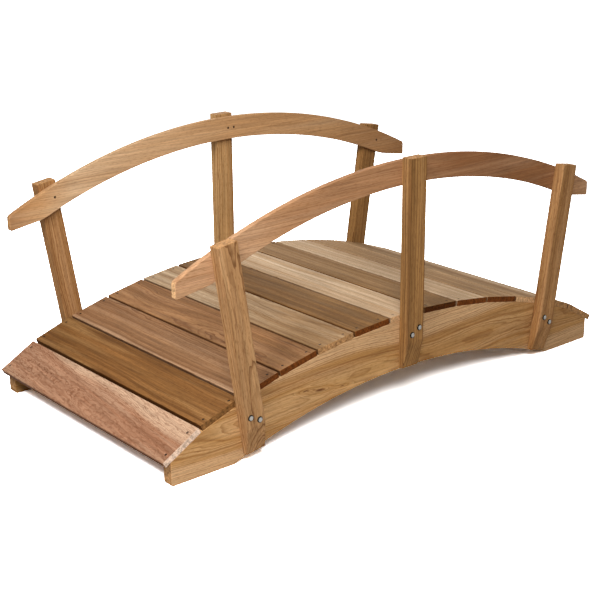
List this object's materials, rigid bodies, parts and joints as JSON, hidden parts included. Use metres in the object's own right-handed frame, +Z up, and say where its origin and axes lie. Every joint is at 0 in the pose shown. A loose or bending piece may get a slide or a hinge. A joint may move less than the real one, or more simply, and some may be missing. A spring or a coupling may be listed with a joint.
{
  "type": "arched garden footbridge",
  "caption": "Arched wooden garden footbridge: plank deck on sawn stringers, with arched handrails on bolted posts.",
  "frame": {"origin": "on the ground, at the middle of the bridge", "axes": "+X along the bridge from the entry end to the exit end, +Y across to the left, +Z up"},
  "size_m": [1.8356, 1, 0.7912],
  "materials": {
    "cedar_boards": "satin",
    "cedar_stringers": "satin",
    "cedar_posts": "satin",
    "cedar_rails": "satin",
    "plated_bolts": "bright plated"
  },
  "bodies": {
    "root": {"bolts_left_entry": "plated_bolts", "bolts_left_exit": "plated_bolts", "bolts_left_middle": "plated_bolts", "bolts_right_entry": "plated_bolts", "bolts_right_exit": "plated_bolts", "bolts_right_middle": "plated_bolts", "deck_board_01": "cedar_boards", "deck_board_02": "cedar_boards", "deck_board_03": "cedar_boards", "deck_board_04": "cedar_boards", "deck_board_05": "cedar_boards", "deck_board_06": "cedar_boards", "deck_board_07": "cedar_boards", "deck_board_08": "cedar_boards", "deck_board_09": "cedar_boards", "deck_board_10": "cedar_boards", "deck_board_11": "cedar_boards", "deck_board_12": "cedar_boards", "deck_board_13": "cedar_boards", "handrail_left": "cedar_rails", "handrail_right": "cedar_rails", "post_left_entry": "cedar_posts", "post_left_exit": "cedar_posts", "post_left_middle": "cedar_posts", "post_right_entry": "cedar_posts", "post_right_exit": "cedar_posts", "post_right_middle": "cedar_posts", "stringer_left": "cedar_stringers", "stringer_right": "cedar_stringers"}
  },
  "joints": []
}
